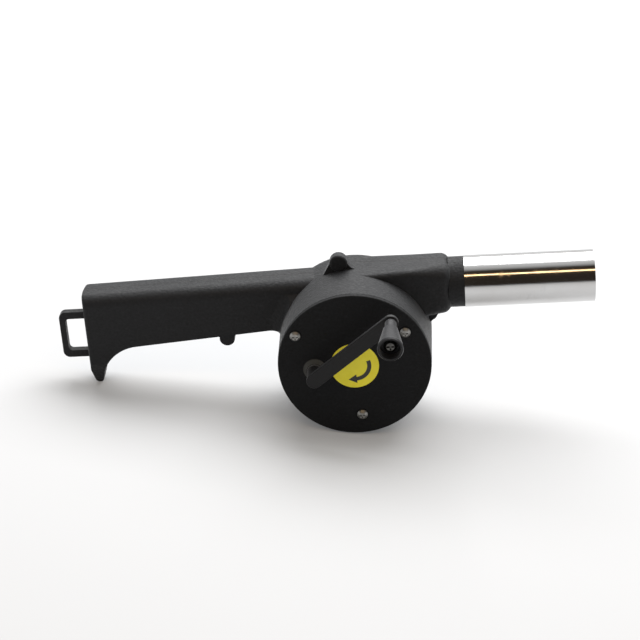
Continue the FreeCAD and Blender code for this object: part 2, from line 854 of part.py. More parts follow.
def gear_cover():
    plate = cylinder(0, 0, cover_radius, cover_front, case_front)
    plate = fillet_edges(plate, cover_edge_rounding, lambda e: near(middle_of(e).y, cover_front))
    rim_outer = cavity_mouth_radius - cover_rim_clearance
    rim = cylinder(0, 0, rim_outer, case_front, case_front + cover_rim_depth)
    rim = rim.cut(cylinder(0, 0, rim_outer - cover_rim_thickness, case_front - 1, case_front + big))
    hub_foot = vector(crank_x, cover_front, crank_z)
    hub = Part.makeCone(hub_boss_radius, hub_boss_front_radius, hub_boss_height, hub_foot, vector(0, -1, 0))
    socket_end = wheel_front - pinion_overlap - end_float
    socket = cylinder(0, 0, impeller_socket_radius, case_front, socket_end)
    pin_boss_end = crank_gear_front - end_float
    pin_boss = cylinder(compound_x, compound_z, compound_boss_radius, case_front, pin_boss_end)
    cover = plate.multiFuse([rim, hub, socket, pin_boss])
    cover = cover.cut(cylinder(crank_x, crank_z, bush_outer_radius(), hub_front - 1, case_front + 1))
    shaft_hole = impeller_shaft_radius + running_clearance
    cover = cover.cut(cylinder(0, 0, shaft_hole, case_front, case_front + big))
    cover = cover.cut(cylinder(compound_x, compound_z, compound_pin_radius, case_front - pin_seat_depth / 2, 0))
    rim_end = case_front + cover_rim_depth
    for x, z in cover_screw_places:
        cover = cover.cut(cylinder(x, z, cover_screw_radius + screw_clearance, cover_front - 1, rim_end + 1))
    return cover.removeSplitter()


def label():
    return cylinder(0, 0, label_radius, cover_front - label_thickness, cover_front)


def pan_screw(x, z, seat, side, radius, length, head_radius, head_height):
    """Pan head screw whose head lies on the seat and points to the given side along Y."""
    outward = vector(0, side, 0)
    inward = vector(0, -side, 0)
    edge_height = head_height * (1 - screw_crown_share)
    crown_base = vector(x, seat + side * edge_height, z)
    edge = Part.makeCylinder(head_radius, edge_height, vector(x, seat, z), outward)
    crown = Part.makeCone(head_radius, head_radius * screw_crown_share, head_height - edge_height, crown_base, outward)
    point_length = screw_point_slope * radius
    shank = Part.makeCylinder(radius, length - point_length, vector(x, seat, z), inward)
    point_base = vector(x, seat - side * (length - point_length), z)
    point = Part.makeCone(radius, radius * screw_point_share, point_length, point_base, inward)
    screw = edge.multiFuse([crown, shank, point])
    outer_face = seat + side * head_height
    recess_floor = seat + side * head_height / 2
    arm = screw_cross_reach * head_radius
    half_slot = screw_cross_width * head_radius / 2
    for half_x, half_z in ((arm, half_slot), (half_slot, arm)):
        bar = block(x - half_x, x + half_x, min(outer_face, recess_floor), max(outer_face, recess_floor),
                    z - half_z, z + half_z)
        screw = screw.cut(bar)
    return screw.removeSplitter()


def cover_screws():
    return [
        pan_screw(x, z, cover_front, -1, cover_screw_radius, cover_screw_length, cover_screw_head_radius,
                  cover_screw_head_height)
        for x, z in cover_screw_places
    ]


def shell_screws():
    return [
        pan_screw(x, z, shell_screw_head_seat((x, z)), 1, shell_screw_radius, shell_screw_length,
                  shell_screw_head_radius, shell_screw_head_height)
        for x, z in shell_screw_places
    ]


# Gears
def involute_point(base_radius, roll):
    """Point of the involute at a roll angle, as radius and polar angle."""
    radius = base_radius * math.sqrt(1 + roll ** 2)
    return radius, roll - math.atan(roll)


def gear_face(teeth, shift, tooth_angle, y):
    """Face of a spur gear with one tooth centred on the given direction in radians."""
    pitch_radius = gear_module * teeth / 2
    base_radius = pitch_radius * math.cos(math.radians(pressure_angle))
    tip_radius = pitch_radius + gear_module * (1 + shift)
    root_radius = pitch_radius - gear_module * (dedendum_factor - shift)
    slope = math.tan(math.radians(pressure_angle))
    thickness = gear_module * (math.pi / 2 + 2 * shift * slope) - tooth_backlash / 2
    half_at_base = thickness / pitch_radius / 2 + slope - math.radians(pressure_angle)
    start_roll = math.sqrt(max(root_radius / base_radius, 1) ** 2 - 1)
    end_roll = math.sqrt((tip_radius / base_radius) ** 2 - 1)
    middle_roll = (start_roll + end_roll) / 2
    flank = [involute_point(base_radius, roll) for roll in (start_roll, middle_roll, end_roll)]

    def place(radius, angle):
        return vector(radius * math.cos(angle), y, radius * math.sin(angle))

    edges = []
    has_feet = root_radius < base_radius - 1e-6
    pitch = 2 * math.pi / teeth
    for number in range(teeth):
        centre = tooth_angle + number * pitch
        rising = [place(radius, centre - half_at_base + turn) for radius, turn in flank]
        falling = [place(radius, centre + half_at_base - turn) for radius, turn in reversed(flank)]
        foot_in = place(root_radius, centre - half_at_base)
        foot_out = place(root_radius, centre + half_at_base)
        next_foot = place(root_radius, centre + pitch - half_at_base)
        if has_feet:
            edges.append(Part.makeLine(foot_in, rising[0]))
        edges.append(Part.Arc(*rising).toShape())
        edges.append(Part.Arc(rising[2], place(tip_radius, centre), falling[0]).toShape())
        edges.append(Part.Arc(*falling).toShape())
        if has_feet:
            edges.append(Part.makeLine(falling[2], foot_out))
        edges.append(Part.makeLine(foot_out, next_foot))
    return Part.Face(Part.Wire(edges))


def gear_blank(teeth, shift, tooth_angle, y_from, width):
    return gear_face(teeth, shift, tooth_angle, y_from).extrude(vector(0, width, 0))


def dished(gear, y_from, width):
    """Thins the web of a wheel between its hub and its rim, and pierces it with round holes."""
    rim_radius = wheel_pitch_radius - gear_module * (dedendum_factor + profile_shift) - gear_rim + gear_module
    recess = (width - gear_web) / 2
    for level in (y_from, y_from + width - recess):
        ring = cylinder(0, 0, rim_radius, level, level + recess)
        gear = gear.cut(ring.cut(cylinder(0, 0, gear_hub_radius, level, level + recess)))
    hole_circle = (rim_radius + gear_hub_radius) / 2
    for number in range(lightening_holes):
        x, z = polar(0, 0, hole_circle, (number + 0.5) * 360 / lightening_holes)
        gear = gear.cut(cylinder(x, z, lightening_hole_radius, y_from - 1, y_from + width + 1))
    return gear


def direction(from_x, from_z, to_x, to_z):
    return math.atan2(to_z - from_z, to_x - from_x)


def flatted_shaft(y_from, y_to):
    """Length of the crank shaft with one flat on its +Z side."""
    bar = cylinder(crank_x, crank_z, crank_shaft_radius, y_from, y_to)
    flat = crank_z + crank_shaft_radius - crank_flat_depth
    left = crank_x - crank_shaft_radius
    right = crank_x + crank_shaft_radius
    return bar.cut(block(left, right, y_from, y_to, flat, flat + crank_shaft_radius))


def crank_gear():
    towards_compound = direction(crank_x, crank_z, compound_x, compound_z)
    gear = gear_blank(wheel_teeth, -profile_shift, towards_compound, crank_gear_front, crank_gear_width)
    gear = moved(dished(gear, crank_gear_front, crank_gear_width), crank_x, crank_z)
    return gear.cut(flatted_shaft(crank_gear_front, crank_gear_back))


def compound_gear():
    """Small pinion driven by the crank gear, moulded with the wheel that drives the impeller."""
    to_crank = direction(compound_x, compound_z, crank_x, crank_z)
    to_impeller = direction(compound_x, compound_z, 0, 0)
    half_pitch = math.pi / pinion_teeth
    pinion_width = wheel_front - crank_gear_front
    pinion = gear_blank(pinion_teeth, profile_shift, to_crank + half_pitch, crank_gear_front, pinion_width)
    wheel = gear_blank(wheel_teeth, -profile_shift, to_impeller, wheel_front, wheel_width)
    gear = dished(wheel, wheel_front, wheel_width).fuse(pinion)
    gear = gear.cut(cylinder(0, 0, compound_pin_radius + running_clearance, crank_gear_front - 1, wheel_back + 1))
    return moved(gear, compound_x, compound_z)


def impeller_gear():
    to_compound = direction(0, 0, compound_x, compound_z)
    half_pitch = math.pi / pinion_teeth
    front = wheel_front - pinion_overlap
    width = wheel_width + 2 * pinion_overlap
    gear = gear_blank(pinion_teeth, profile_shift, to_compound + half_pitch, front, width)
    return gear.cut(cylinder(0, 0, impeller_shaft_radius, front - 1, front + width + 1))


def compound_pin():
    front = case_front - pin_seat_depth / 2
    back = partition_front + partition_wall - pin_seat_depth
    return cylinder(compound_x, compound_z, compound_pin_radius, front, back)


# Crank
def crank_shaft():
    """Round shaft with a flat in the arm's collar and another in the gear."""
    seat = collar_back - arm_socket_depth
    lengths = [
        flatted_shaft(seat, collar_back),
        cylinder(crank_x, crank_z, crank_shaft_radius, collar_back, crank_gear_front),
        flatted_shaft(crank_gear_front, crank_gear_back),
        cylinder(crank_x, crank_z, crank_shaft_radius, crank_gear_back, partition_front - end_float),
    ]
    return lengths[0].multiFuse(lengths[1:])


def crank_bush():
    outer = bush_outer_radius()
    inner = crank_shaft_radius + running_clearance
    flange_back = case_front + crank_bush_flange
    sleeve = cylinder(crank_x, crank_z, outer, hub_front, case_front)
    flange = cylinder(crank_x, crank_z, outer + crank_bush_flange_reach, case_front, flange_back)
    bore = cylinder(crank_x, crank_z, inner, hub_front - 1, flange_back + 1)
    return sleeve.fuse(flange).cut(bore).removeSplitter()


def crank_washer():
    disc = cylinder(crank_x, crank_z, washer_radius, hub_front - washer_thickness, hub_front)
    return disc.cut(cylinder(crank_x, crank_z, crank_shaft_radius + running_clearance, hub_front - big, 0))


def crank_arm():
    """Flat strip with round ends along the crank angle, with a collar that takes the shaft."""
    half = arm_width / 2
    along = vector(math.cos(math.radians(crank_angle)), 0, math.sin(math.radians(crank_angle)))
    across = vector(-along.z, 0, along.x)
    hub = vector(crank_x, arm_front, crank_z)
    tip = vector(knob_x, arm_front, knob_z)
    edges = [
        Part.makeLine(hub + across * half, tip + across * half),
        Part.Arc(tip + across * half, tip + along * half, tip - across * half).toShape(),
        Part.makeLine(tip - across * half, hub - across * half),
        Part.Arc(hub - across * half, hub - along * half, hub + across * half).toShape(),
    ]
    arm = Part.Face(Part.Wire(edges)).extrude(vector(0, arm_thickness, 0))
    arm = fillet_edges(arm, arm_edge_rounding, lambda e: near(middle_of(e).y, arm_front))
    arm = arm.fuse(cylinder(crank_x, crank_z, arm_collar_radius, arm_back, collar_back))
    arm = arm.cut(flatted_shaft(collar_back - arm_socket_depth, collar_back))
    return arm.cut(cylinder(knob_x, knob_z, knob_screw_radius, arm_front - 1, arm_back + 1)).removeSplitter()


knob_back = arm_front - end_float
knob_front = knob_back - knob_length
knob_seat = knob_front + knob_recess_depth


def knob():
    """Thin neck and a grip that widens to its outer end, with a recess for the screw's head."""
    bore = knob_screw_radius + running_clearance
    neck = knob_back - knob_neck_length
    base = neck - knob_rounding
    end = knob_front + knob_rounding
    path = [
        (bore, knob_back),
        (knob_neck_radius, knob_back),
        (knob_neck_radius, neck),
        (knob_base_radius, base),
        (knob_end_radius, end),
        (knob_end_radius - knob_rounding / 2, knob_front),
        (knob_recess_radius, knob_front),
        (knob_recess_radius, knob_seat),
        (bore, knob_seat),
    ]
    profile = [(start, None, stop) for start, stop in zip(path, path[1:] + path[:1])]
    return moved(turned(profile), knob_x, knob_z)


def knob_screw():
    seat = knob_seat - end_float
    length = arm_back - seat
    return pan_screw(knob_x, knob_z, seat, -1, knob_screw_radius, length, knob_screw_head_radius,
                     knob_screw_head_height)


# Impeller and its bearing
def impeller_front():
    return partition_back + impeller_gap


def impeller_shaft():
    front = case_front + end_float
    back = impeller_front() + impeller_hub_length
    return cylinder(0, 0, impeller_shaft_radius, front, back)


def impeller_bush():
    inner = impeller_shaft_radius + running_clearance
    outer = inner + impeller_bush_wall
    front = partition_front - impeller_bush_flange
    sleeve = cylinder(0, 0, outer, front, partition_back)
    flange = cylinder(0, 0, outer + impeller_bush_flange_reach, front - impeller_bush_flange, front)
    return sleeve.fuse(flange).cut(cylinder(0, 0, inner, front - 2, partition_back + 1)).removeSplitter()


def blade_line(thickness_side):
    """Inner, middle and outer point of one face of a curved blade, seen along the axis."""
    places = []
    for share in (0, 0.5, 1):
        radius = blade_inner_radius + (impeller_radius - blade_inner_radius) * share
        lag = math.radians(blade_sweep) * share ** blade_curl
        offset = thickness_side * blade_thickness / 2
        x = radius * math.cos(lag) + offset * math.sin(lag + math.radians(90 - blade_inner_angle))
        z = -radius * math.sin(lag) + offset * math.cos(lag + math.radians(90 - blade_inner_angle))
        places.append((x, z))
    return places


def impeller_blade():
    front = impeller_front() + impeller_plate / 2
    level = [[vector(x, front, z) for x, z in blade_line(side)] for side in (1, -1)]
    edges = [
        Part.Arc(*level[0]).toShape(),
        Part.makeLine(level[0][2], level[1][2]),
        Part.Arc(*reversed(level[1])).toShape(),
        Part.makeLine(level[1][0], level[0][0]),
    ]
    width = impeller_width - impeller_plate
    return Part.Face(Part.Wire(edges)).extrude(vector(0, width, 0))


def impeller():
    front = impeller_front()
    plate = cylinder(0, 0, impeller_radius, front, front + impeller_plate)
    hub = cylinder(0, 0, impeller_hub_radius, front, front + impeller_hub_length)
    shroud_front = front + impeller_width - impeller_plate
    shroud = cylinder(0, 0, impeller_radius, shroud_front, front + impeller_width)
    shroud = shroud.cut(cylinder(0, 0, shroud_inner_radius, shroud_front - 1, front + impeller_width + 1))
    blades = []
    for number in range(blade_count):
        blade = impeller_blade()
        blade.rotate(vector(0, 0, 0), axis_y, number * 360 / blade_count)
        blades.append(blade)
    wheel = plate.multiFuse([hub, shroud] + blades)
    wheel = wheel.common(cylinder(0, 0, impeller_radius, front, front + impeller_width))
    return wheel.cut(cylinder(0, 0, impeller_shaft_radius, front - 1, front + big)).removeSplitter()


def outlet_tube():
    """Plain tube, opened a little over the length that seats on the spigot."""
    tube = outlet_cylinder(tube_outer_radius, collar_end, tube_mouth)
    tube = tube.cut(outlet_cylinder(tube_bore_radius, collar_end - 1, tube_mouth + 1))
    return tube.cut(outlet_cylinder(tube_seat_radius, collar_end - 1, tube_seat_end))


# Stance: the case and the hook's tip touch the ground together
def stance_angle():
    reach = math.hypot(hook_tip_x, hook_tip_height)
    slope = math.atan2(-hook_tip_height, -hook_tip_x)
    return math.degrees(math.asin((case_radius - hook_tip_radius) / reach) - slope)


def build():
    body = shell_body()
    return {
        "front_shell": front_shell(body),
        "back_shell": back_shell(body),
        "gear_cover": gear_cover(),
        "label": label(),
        "cover_screws": Part.makeCompound(cover_screws()),
        "shell_screws": Part.makeCompound(shell_screws()),
        "outlet_tube": outlet_tube(),
        "crank_bush": crank_bush(),
        "crank_washer": crank_washer(),
        "crank_shaft": crank_shaft(),
        "crank_arm": crank_arm(),
        "crank_gear": crank_gear(),
        "knob": knob(),
        "knob_screw": knob_screw(),
        "compound_gear": compound_gear(),
        "compound_pin": compound_pin(),
        "impeller_gear": impeller_gear(),
        "impeller_shaft": impeller_shaft(),
        "impeller_bush": impeller_bush(),
        "impeller": impeller(),
    }


def stand_up(pieces):
    """Tips the fan onto its case and hook, and puts the origin under the middle of its box."""
    for shape in pieces.values():
        shape.rotate(vector(0, 0, 0), axis_y, -stance_angle())
    box = Part.makeCompound(list(pieces.values())).optimalBoundingBox(False, False)
    shift = vector(-(box.XMin + box.XMax) / 2, -(box.YMin + box.YMax) / 2, -box.ZMin)
    for shape in pieces.values():
        shape.translate(shift)
    return shift


def main():
    os.makedirs("parts", exist_ok=True)
    pieces = build()
    shift = stand_up(pieces)
    print("stance angle", round(stance_angle(), 4), "origin shift", shift)
    for name, shape in pieces.items():
        solids = shape.Solids
        print(name, len(solids), "solids", "valid", shape.isValid(), "volume", round(shape.Volume, 1))
        shape.exportStep(os.path.join("parts", name + ".step"))


main()
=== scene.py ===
import math

import bmesh
import bpy
from mathutils import Matrix, Vector


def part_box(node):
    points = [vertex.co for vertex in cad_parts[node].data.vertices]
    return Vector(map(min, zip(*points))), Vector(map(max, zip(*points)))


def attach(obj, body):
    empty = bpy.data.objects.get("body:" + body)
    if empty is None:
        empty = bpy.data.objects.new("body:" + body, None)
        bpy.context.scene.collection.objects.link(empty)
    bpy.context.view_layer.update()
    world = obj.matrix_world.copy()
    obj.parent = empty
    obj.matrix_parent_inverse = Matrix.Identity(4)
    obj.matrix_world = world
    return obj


# The blower lies on its drum and its hooked handle end, with the crank towards the camera.
# Everything is in metres, in the row frame. x runs along the blast tube, z is up.

# The tube and the handle lean this much about y.
STANCE = math.radians(7.5445)
# The two shells meet in the plane y = SEAM_PLACE, in a fine line.
SEAM_PLACE = 0.03045
SEAM_EDGE = 0.00005
SEAM_LIP = 0.00022
SEAM_DEPTH = 0.00015

# The crank's hub stands on the cover around the line x = HUB_X, z = HUB_Z.
HUB_X = -0.002122
HUB_Z = 0.033326

CAMERA_TARGET = Vector((-0.001687, 0.035435, 0.038912))
CAMERA_DISTANCE = 0.9066
CAMERA_AZIMUTH = math.radians(0.357)
CAMERA_ELEVATION = math.radians(26.043)
CAMERA_ROLL = math.radians(4.003)
CAMERA_LENS = 103.77
CAMERA_SENSOR = 36.0

TABLE_SIZE = 14.0
TABLE_PAINT = (0.485, 0.487, 0.492, 1)
TABLE_GLOW = 0.10
ROOM_FILL = (0.95, 0.98, 1.0, 1)
ROOM_FILL_STRENGTH = 0.50
ROOM_WHITE = (0.98, 0.98, 0.98, 1)
ROOM_DARK = (0.034, 0.027, 0.021, 1)
LAMP_AIM = Vector((0.0, 0.03, 0.04))
LAMP_WHITE = (1.0, 1.0, 1.0)
LAMP_WARM = (1.0, 0.68, 0.36)

# Most clouds of noise lie between these two values.
CLOUD_LOW = 0.3
CLOUD_HIGH = 0.7
BRIGHTEST_RUB = 0.85


# Making things


def new_object(name, data):
    """An object of that name, in the scene."""
    made = bpy.data.objects.new(name, data)
    bpy.context.scene.collection.objects.link(made)
    return made


def new_mesh(name, shape):
    """A mesh of that name from the finished shape."""
    mesh = bpy.data.meshes.new(name)
    shape.to_mesh(mesh)
    shape.free()
    return mesh


def bare_tree(block, output_kind):
    """The emptied node tree of a material or of the world, and its output."""
    block.use_nodes = True
    tree = block.node_tree
    tree.nodes.clear()
    return tree, tree.nodes.new(output_kind)


# Camera, floor and light


def set_camera():
    """The camera stands at the photograph's angle, turned a little about its line of sight."""
    lens = bpy.data.cameras.new("camera")
    lens.sensor_width = CAMERA_SENSOR
    lens.lens = CAMERA_LENS
    camera = new_object("camera", lens)
    swing = Matrix.Rotation(CAMERA_AZIMUTH, 4, "Z")
    tilt = Matrix.Rotation(math.radians(90) - CAMERA_ELEVATION, 4, "X")
    roll = Matrix.Rotation(CAMERA_ROLL, 4, "Z")
    turned = swing @ tilt @ roll
    back = turned.to_3x3() @ Vector((0, 0, 1))
    camera.matrix_world = Matrix.Translation(CAMERA_TARGET + back * CAMERA_DISTANCE) @ turned
    bpy.context.scene.camera = camera


def seen_by_eye(tree):
    """One where a ray comes from the camera, or from it by way of metal or glass, else nothing."""
    path = tree.nodes.new("ShaderNodeLightPath")
    straight_or_glossy = sums(tree, path.outputs["Is Camera Ray"], path.outputs["Is Glossy Ray"])
    any_of_them = sums(tree, straight_or_glossy, path.outputs["Is Transmission Ray"])
    any_of_them.node.use_clamp = True
    return any_of_them


def white_table():
    """The white table keeps the blower's shadow and shows white to the camera and in the metal."""
    shape = bmesh.new()
    bmesh.ops.create_grid(shape, x_segments=1, y_segments=1, size=TABLE_SIZE / 2)
    table = new_object("table_top", new_mesh("table_top", shape))
    material = bpy.data.materials.new("table_white")
    tree, output = bare_tree(material, "ShaderNodeOutputMaterial")
    paint = tree.nodes.new("ShaderNodeBsdfDiffuse")
    paint.inputs["Color"].default_value = TABLE_PAINT
    glow = tree.nodes.new("ShaderNodeEmission")
    glow.inputs["Color"].default_value = (*LAMP_WHITE, 1)
    both = tree.nodes.new("ShaderNodeAddShader")
    tree.links.new(part_of(tree, seen_by_eye(tree), TABLE_GLOW), glow.inputs["Strength"])
    tree.links.new(paint.outputs[0], both.inputs[0])
    tree.links.new(glow.outputs[0], both.inputs[1])
    tree.links.new(both.outputs[0], output.inputs["Surface"])
    table.data.materials.append(material)


def pale_room():
    """The room is white to the eye and lights the blower evenly and weakly."""
    world = bpy.data.worlds.new("pale_room")
    bpy.context.scene.world = world
    tree, output = bare_tree(world, "ShaderNodeOutputWorld")
    fill = tree.nodes.new("ShaderNodeBackground")
    fill.inputs["Color"].default_value = ROOM_FILL
    fill.inputs["Strength"].default_value = ROOM_FILL_STRENGTH
    white = tree.nodes.new("ShaderNodeBackground")
    white.inputs["Color"].default_value = ROOM_WHITE
    either = tree.nodes.new("ShaderNodeMixShader")
    tree.links.new(seen_by_eye(tree), either.inputs["Fac"])
    tree.links.new(fill.outputs[0], either.inputs[1])
    tree.links.new(white.outputs[0], either.inputs[2])
    tree.links.new(either.outputs[0], output.inputs["Surface"])


def softbox(name, width, depth, place, watts, colour):
    """A soft lamp of that size, aimed at the drum."""
    lamp = bpy.data.lights.new(name, "AREA")
    lamp.shape = "RECTANGLE"
    lamp.size = width
    lamp.size_y = depth
    lamp.energy = watts
    lamp.color = colour
    box = new_object(name, lamp)
    box.location = place
    box.rotation_euler = (Vector(place) - LAMP_AIM).to_track_quat("Z", "Y").to_euler()
    return box


def dark_room_side():
    """The room behind the camera is dark. Only shiny surfaces see it, as the tube's dark band."""
    half_width, reach, foot_height = 2.2, 1.5, -0.06
    shape = bmesh.new()
    left = shape.verts.new((-half_width, -reach, foot_height))
    right = shape.verts.new((half_width, -reach, foot_height))
    foot = shape.edges.new((left, right))
    bmesh.ops.spin(
        shape,
        geom=[left, right, foot],
        cent=(0, 0, 0.04),
        axis=(-1, 0, 0),
        angle=math.radians(94),
        steps=24,
    )
    card = new_object("dark_room_side", new_mesh("dark_room_side", shape))
    card.visible_camera = False
    card.visible_diffuse = False
    card.visible_shadow = False
    material = bpy.data.materials.new("room_dark")
    tree, output = bare_tree(material, "ShaderNodeOutputMaterial")
    dark = tree.nodes.new("ShaderNodeEmission")
    dark.inputs["Color"].default_value = ROOM_DARK
    clear = tree.nodes.new("ShaderNodeBsdfTransparent")
    height = tree.nodes.new("ShaderNodeSeparateXYZ")
    tree.links.new(tree.nodes.new("ShaderNodeTexCoord").outputs["Object"], height.inputs[0])
    lower = spread(tree, height.outputs["Z"], foot_height, 0.12, 0, 1)
    upper = spread(tree, height.outputs["Z"], 1.42, 1.585, 1, 0)
    fade = tree.nodes.new("ShaderNodeMixShader")
    tree.links.new(sums(tree, lower, upper, "MULTIPLY"), fade.inputs["Fac"])
    tree.links.new(clear.outputs[0], fade.inputs[1])
    tree.links.new(dark.outputs[0], fade.inputs[2])
    tree.links.new(fade.outputs[0], output.inputs["Surface"])
    card.data.materials.append(material)


def light_studio():
    """Soft light from above and behind, and a warm strip high in front that the tube shows."""
    pale_room()
    softbox("overhead_softbox", 1.55, 1.15, (0.14, 0.66, 1.10), 35.0, LAMP_WHITE)
    strip = softbox("warm_strip", 1.6, 0.11, (0.0, -0.83, 1.02), 2.7, LAMP_WARM)
    strip.visible_camera = False
    dark_room_side()


# Parts of a finish


def start_finish(name):
    """A new material, with its node tree, its shader and the place of each point on the piece."""
    material = bpy.data.materials.new(name)
    material.use_nodes = True
    tree = material.node_tree
    shader = tree.nodes["Principled BSDF"]
    place = tree.nodes.new("ShaderNodeTexCoord").outputs["Object"]
    return material, tree, shader, place


def cloud(tree, place, per_metre, detail, stretch=(1, 1, 1), turn=(0, 0, 0)):
    """A cloudy pattern of so many patches a metre, stretched and turned where that is given."""
    aimed = tree.nodes.new("ShaderNodeMapping")
    aimed.inputs["Scale"].default_value = stretch
    aimed.inputs["Rotation"].default_value = turn
    noise = tree.nodes.new("ShaderNodeTexNoise")
    noise.inputs["Scale"].default_value = per_metre
    noise.inputs["Detail"].default_value = detail
    noise.inputs["Roughness"].default_value = 0.55
    tree.links.new(place, aimed.inputs["Vector"])
    tree.links.new(aimed.outputs[0], noise.inputs["Vector"])
    return noise.outputs["Fac"]


def spread(tree, value, low, high, start, end):
    """The value from low to high becomes a value from start to end, and stays between them."""
    ranged = tree.nodes.new("ShaderNodeMapRange")
    ranged.inputs["From Min"].default_value = low
    ranged.inputs["From Max"].default_value = high
    ranged.inputs["To Min"].default_value = start
    ranged.inputs["To Max"].default_value = end
    tree.links.new(value, ranged.inputs["Value"])
    return ranged.outputs["Result"]


def across(tree, clouds, start, end):
    """A value that goes from start to end across a cloudy pattern."""
    return spread(tree, clouds, CLOUD_LOW, CLOUD_HIGH, start, end)


def two_colours(tree, share, first, second):
    """A colour between two, each one a colour or the output of another node."""
    mix = tree.nodes.new("ShaderNodeMix")
    mix.data_type = "RGBA"
    tree.links.new(share, mix.inputs["Factor"])
    for socket, colour in ((mix.inputs["A"], first), (mix.inputs["B"], second)):
        if isinstance(colour, tuple):
            socket.default_value = (*colour, 1)
        else:
            tree.links.new(colour, socket)
    return mix.outputs["Result"]


def sums(tree, first, second, way="ADD"):
    """Two values, added or put together in the way that is given."""
    maths = tree.nodes.new("ShaderNodeMath")
    maths.operation = way
    for socket, value in zip(maths.inputs, (first, second)):
        if isinstance(value, float):
            socket.default_value = value
        else:
            tree.links.new(value, socket)
    return maths.outputs[0]


def part_of(tree, value, share):
    """That share of the value."""
    return sums(tree, value, share, "MULTIPLY")


def relief(tree, height, depth, under=None):
    """The relief that a height gives, as deep as depth in metres, on top of the one under it."""
    bump = tree.nodes.new("ShaderNodeBump")
    bump.inputs["Strength"].default_value = 1.0
    bump.inputs["Distance"].default_value = depth
    tree.links.new(height, bump.inputs["Height"])
    if under is not None:
        tree.links.new(under, bump.inputs["Normal"])
    return bump.outputs["Normal"]


def hub_highlight_mask(tree, place):
    """One on the slope of the crank's hub, where the painted highlight goes, and nothing elsewhere
    on the cover.
    """
    centred = tree.nodes.new("ShaderNodeMapping")
    centred.inputs["Location"].default_value = (-HUB_X, 0, -HUB_Z)
    centred.inputs["Scale"].default_value = (1, 0, 1)
    distance = tree.nodes.new("ShaderNodeVectorMath")
    distance.operation = "LENGTH"
    tree.links.new(place, centred.inputs["Vector"])
    tree.links.new(centred.outputs[0], distance.inputs[0])
    inside = spread(tree, distance.outputs["Value"], 0.0054, 0.0058, 1, 0)
    outside = spread(tree, distance.outputs["Value"], 0.0036, 0.0041, 0, 1)
    return sums(tree, inside, outside, "MULTIPLY")


# Finishes


def moulded_plastic(
    name, colour, pale, rough, grain_depth,
    grains=2300, gloss=0.24, bloom=0.20, seam=False, painted_hub_highlight=False,
):
    """Moulded plastic: spark grain from the mould, patchy shine, faint rubbed places.

    grains is how many grains lie on a metre, and grain_depth how deep they are in metres. A seam
    is the line between the two shells, and painted_hub_highlight paints the hub's slope paler and
    makes it smoother: a painted highlight where light from above falls on it.
    """
    material, tree, shader, place = start_finish(name)
    patches = cloud(tree, place, 26, 4)
    smears = cloud(tree, place, 190, 7, (1, 1, 2.5), (0, -STANCE, 0))
    rubs = spread(tree, smears, 0.62, 0.76, 0, 1)
    grain = cloud(tree, place, grains, 4)
    speck = spread(tree, grain, 0.35, 0.70, 0, 1)
    rubbed_colour = tuple(min(2.2 * part, BRIGHTEST_RUB) for part in pale)
    body = two_colours(tree, across(tree, patches, 0, 1), colour, pale)
    speckled = two_colours(tree, part_of(tree, speck, 0.60), body, pale)
    surface = two_colours(tree, part_of(tree, rubs, 0.35), speckled, rubbed_colour)
    dull = across(tree, patches, rough - 0.05, rough + 0.06)
    pitted = sums(tree, dull, part_of(tree, speck, 0.16), "SUBTRACT")
    polished = sums(tree, pitted, part_of(tree, rubs, 0.10), "SUBTRACT")
    normal = relief(tree, grain, grain_depth)
    normal = relief(tree, cloud(tree, place, 130, 2), 0.00012, normal)
    if seam:
        split = tree.nodes.new("ShaderNodeSeparateXYZ")
        tree.links.new(place, split.inputs[0])
        offset = sums(tree, split.outputs["Y"], SEAM_PLACE, "SUBTRACT")
        gap = sums(tree, offset, 0.0, "ABSOLUTE")
        lip = spread(tree, gap, SEAM_EDGE, SEAM_LIP, 0, 1)
        surface = two_colours(tree, lip, tuple(0.3 * part for part in colour), surface)
        normal = relief(tree, lip, SEAM_DEPTH, normal)
    if painted_hub_highlight:
        # Painted highlight: the hub's slope is painted paler, as if lit from above, and made a
        # little smoother.
        ring = hub_highlight_mask(tree, place)
        surface = two_colours(tree, ring, surface, (0.052, 0.052, 0.048))
        polished = sums(tree, polished, part_of(tree, ring, 0.15), "SUBTRACT")
    tree.links.new(surface, shader.inputs["Base Color"])
    tree.links.new(polished, shader.inputs["Roughness"])
    tree.links.new(normal, shader.inputs["Normal"])
    shader.inputs["Specular IOR Level"].default_value = gloss
    shader.inputs["Sheen Weight"].default_value = bloom
    shader.inputs["Sheen Roughness"].default_value = 0.30
    shader.inputs["Sheen Tint"].default_value = (0.96, 0.98, 1.0, 1)
    return material


def drawn_steel():
    """Polished steel tube, with faint drawing lines along it, light handling marks and haze."""
    material, tree, shader, place = start_finish("drawn_steel")
    lines = cloud(tree, place, 900, 4, (0.012, 1, 1), (0, -STANCE, 0))
    haze = cloud(tree, place, 34, 5)
    marks = spread(tree, cloud(tree, place, 210, 8, (1, 1, 0.4)), 0.62, 0.72, 0, 1)
    silver = two_colours(tree, across(tree, haze, 0, 1), (0.54, 0.535, 0.525), (0.60, 0.60, 0.60))
    marked = two_colours(tree, part_of(tree, marks, 0.25), silver, (0.42, 0.42, 0.42))
    shine = sums(tree, across(tree, haze, 0.07, 0.13), part_of(tree, marks, 0.12))
    tree.links.new(marked, shader.inputs["Base Color"])
    tree.links.new(shine, shader.inputs["Roughness"])
    tree.links.new(relief(tree, lines, 0.000012), shader.inputs["Normal"])
    shader.inputs["Metallic"].default_value = 1.0
    return material


